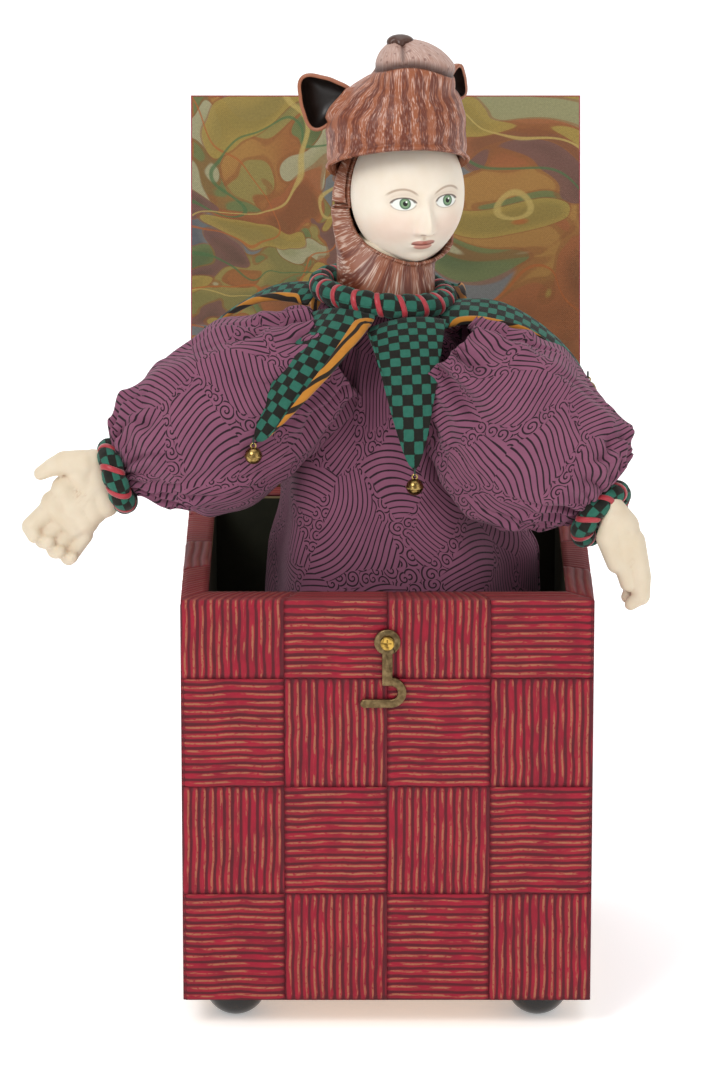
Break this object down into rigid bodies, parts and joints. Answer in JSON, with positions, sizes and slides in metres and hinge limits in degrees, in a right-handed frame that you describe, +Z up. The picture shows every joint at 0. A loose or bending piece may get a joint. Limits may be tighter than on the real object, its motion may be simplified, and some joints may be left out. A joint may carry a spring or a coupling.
{
  "type": "jack in the box",
  "caption": "Box with a hinged lid and a swivel hook; a robed puppet on a spring rises out of it as the lid opens.",
  "frame": {"origin": "centre of the box, on the plane that its four feet stand on", "axes": "+Z up, -Y towards the hook side of the box (its front), +X to the right as the front is looked at"},
  "size_m": [0.2133, 0.1878, 0.3313],
  "materials": {
    "board": "plain",
    "combed_paper": "combed paste, satin",
    "lining_paper": "matt",
    "marbled_paper": "marbled, matt",
    "foot": "gloss black paint",
    "steel": "drawn wire",
    "brass": "antiqued",
    "bell_brass": "polished",
    "bisque": "unglazed",
    "painted_fur": "painted, satin",
    "nose": "painted, satin",
    "gown": "printed cotton",
    "checker": "checked cotton",
    "ribbon": "satin ribbon"
  },
  "bodies": {
    "box": {"front_panel": "board", "back_panel": "board", "left_panel": "board", "right_panel": "board", "front_facing": "combed_paper", "back_facing": "combed_paper", "left_facing": "combed_paper", "right_facing": "combed_paper", "bottom_board": "board", "box_lining": "lining_paper", "foot_front_left": "foot", "foot_front_right": "foot", "foot_rear_left": "foot", "foot_rear_right": "foot", "foot_screws": "steel", "hook_screw": "brass", "box_hinge_leaves": "brass", "box_hinge_screws": "brass", "hinge_pins": "brass", "lower_spring_staples": "steel", "main_spring": "steel", "robe": "gown"},
    "lid": {"lid_board": "board", "lid_facing": "combed_paper", "lid_lining": "marbled_paper", "lid_catch_pin": "brass", "lid_hinge_leaves": "brass", "lid_hinge_screws": "brass"},
    "hook": {"hook": "brass"},
    "figure": {"shoulder_block": "board", "upper_spring_staples": "steel", "neck_post": "board", "head": "bisque", "hood": "painted_fur", "hat": "painted_fur", "hat_ears": "painted_fur", "hat_nose": "nose", "collar_roll": "checker", "collar_ribbon": "ribbon", "collar_point_front_left": "checker", "collar_point_front_right": "checker", "collar_point_side_left": "checker", "collar_point_side_right": "checker", "collar_point_back_left": "checker", "collar_point_back_right": "checker"},
    "left_arm": {"left_arm_wire": "steel", "left_hand": "bisque", "left_sleeve": "gown", "left_cuff": "checker"},
    "right_arm": {"right_arm_wire": "steel", "right_hand": "bisque", "right_sleeve": "gown", "right_cuff": "checker"},
    "collar_tips": {"bell_front_left": "bell_brass", "bell_front_right": "bell_brass", "bell_back_left": "bell_brass", "bell_back_right": "bell_brass"},
    "left_tip": {"bell_side_left": "bell_brass"},
    "right_tip": {"bell_side_right": "bell_brass"}
  },
  "joints": [
    {"name": "figure_slide", "type": "slide", "parent": "box", "child": "figure", "axis": [0, 0, 1], "range_m": [-0.195, 0], "stiffness_N_per_m": 70, "springref_m": 0.09, "deforming": ["main_spring", "robe"]},
    {"name": "lid_hinge", "type": "hinge", "parent": "box", "child": "lid", "pos_m": [0, 0.0703, 0.1528], "axis": [1, 0, 0], "range_deg": [0, 106.5]},
    {"name": "hook_swivel", "type": "hinge", "parent": "box", "child": "hook", "pos_m": [0, -0.07, 0.1378], "axis": [0, 1, 0], "range_deg": [0, 180]},
    {"name": "left_arm_fold", "type": "hinge", "parent": "figure", "child": "left_arm", "pos_m": [-0.023, -0.0395, 0.224], "axis": [0, 1, 0], "range_deg": [0, 155], "deforming": ["left_sleeve", "left_cuff"]},
    {"name": "right_arm_fold", "type": "hinge", "parent": "figure", "child": "right_arm", "pos_m": [0.023, -0.0455, 0.224], "axis": [0, -1, 0], "range_deg": [0, 172], "deforming": ["right_sleeve", "right_cuff"]},
    {"name": "collar_gather", "type": "slide", "parent": "figure", "child": "collar_tips", "axis": [0, 0, 1], "range_m": [0, 0.045], "deforming": ["collar_point_front_left", "collar_point_front_right", "collar_point_back_left", "collar_point_back_right"]},
    {"name": "left_tip_gather", "type": "slide", "parent": "figure", "child": "left_tip", "axis": [0.7538, 0.326, 0.5705], "range_m": [0, 0.0491], "deforming": ["collar_point_side_left"]},
    {"name": "right_tip_gather", "type": "slide", "parent": "figure", "child": "right_tip", "axis": [-0.699, 0.5057, 0.5057], "range_m": [0, 0.0672], "deforming": ["collar_point_side_right"]}
  ],
  "couplings": [
    {"joint": "lid_hinge", "follows": "figure_slide", "rad_per_m": -9.5321},
    {"joint": "left_arm_fold", "follows": "figure_slide", "rad_per_m": -13.873},
    {"joint": "right_arm_fold", "follows": "figure_slide", "rad_per_m": -15.395},
    {"joint": "collar_gather", "follows": "figure_slide", "ratio": -0.2307},
    {"joint": "left_tip_gather", "follows": "figure_slide", "ratio": -0.2517},
    {"joint": "right_tip_gather", "follows": "figure_slide", "ratio": -0.3446}
  ]
}
